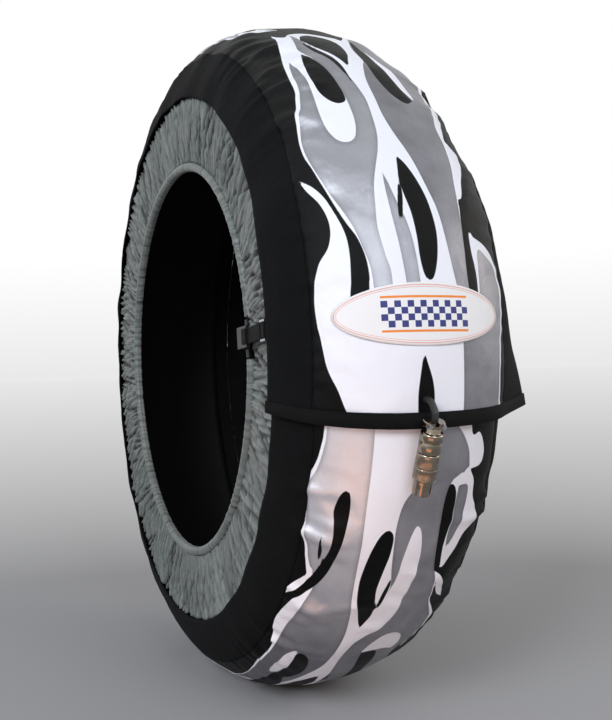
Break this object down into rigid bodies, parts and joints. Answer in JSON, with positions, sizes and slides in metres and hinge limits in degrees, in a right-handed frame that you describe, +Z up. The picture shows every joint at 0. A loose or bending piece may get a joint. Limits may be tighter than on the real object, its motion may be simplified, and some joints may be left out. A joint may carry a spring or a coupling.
{
  "type": "motorcycle tyre warmer",
  "caption": "Insulated heating strip wrapped round a rear motorcycle tyre, with gathered elasticated skirts on both sides, an overlapping flap end and a metal plug for its supply.",
  "frame": {"origin": "on the floor, under the wheel's centre", "axes": "Y is the wheel's axis, from the near skirt to the far skirt; X points to the flap's end; Z is up"},
  "size_m": [0.6595, 0.2212, 0.635],
  "materials": {
    "printed_satin": "printed satin-weave polyester, black, silver grey and white",
    "black_twill": "matte black twill",
    "grey_fabric": "silvery grey woven cloth, gathered",
    "black_lining": "black heat-resistant cloth",
    "wadding": "needled felt",
    "carbon_ribbon": "woven carbon heating ribbon",
    "black_tape": "black woven tape",
    "badge": "white coated patch",
    "nickel": "nickel-plated brass, turned",
    "steel": "bright plated steel",
    "brass": "turned contacts",
    "black_plastic": "moulded black nylon",
    "black_rubber": "black rubber-covered cord and lead"
  },
  "bodies": {
    "root": {"tread_cover": "printed_satin", "near_side_panel": "black_twill", "far_side_panel": "black_twill", "flap_binding": "black_twill", "wadding": "wadding", "thermostat": "steel", "inner_lining": "black_lining", "heating_element": "carbon_ribbon", "inner_lead": "black_rubber", "near_loop_tape": "black_tape", "near_hook_tape": "black_tape", "far_loop_tape": "black_tape", "far_hook_tape": "black_tape", "near_skirt": "grey_fabric", "near_hem": "grey_fabric", "near_elastic_cord": "black_rubber", "far_skirt": "grey_fabric", "far_hem": "grey_fabric", "far_elastic_cord": "black_rubber", "badge": "badge", "connector_clamp": "nickel", "clamp_screw_1": "steel", "clamp_screw_2": "steel", "connector_body": "nickel", "coupling_ring": "nickel", "mating_shell": "nickel", "contact_insert": "black_plastic", "contact_pin_1": "brass", "contact_pin_2": "brass", "contact_pin_3": "brass", "lead_end": "black_rubber", "near_cord_clip": "black_plastic", "near_clip_strap": "black_tape", "near_strap_slide": "steel", "near_anchor_strap": "black_tape", "far_cord_clip": "black_plastic", "far_clip_strap": "black_tape", "far_strap_slide": "steel", "far_anchor_strap": "black_tape"}
  },
  "joints": []
}
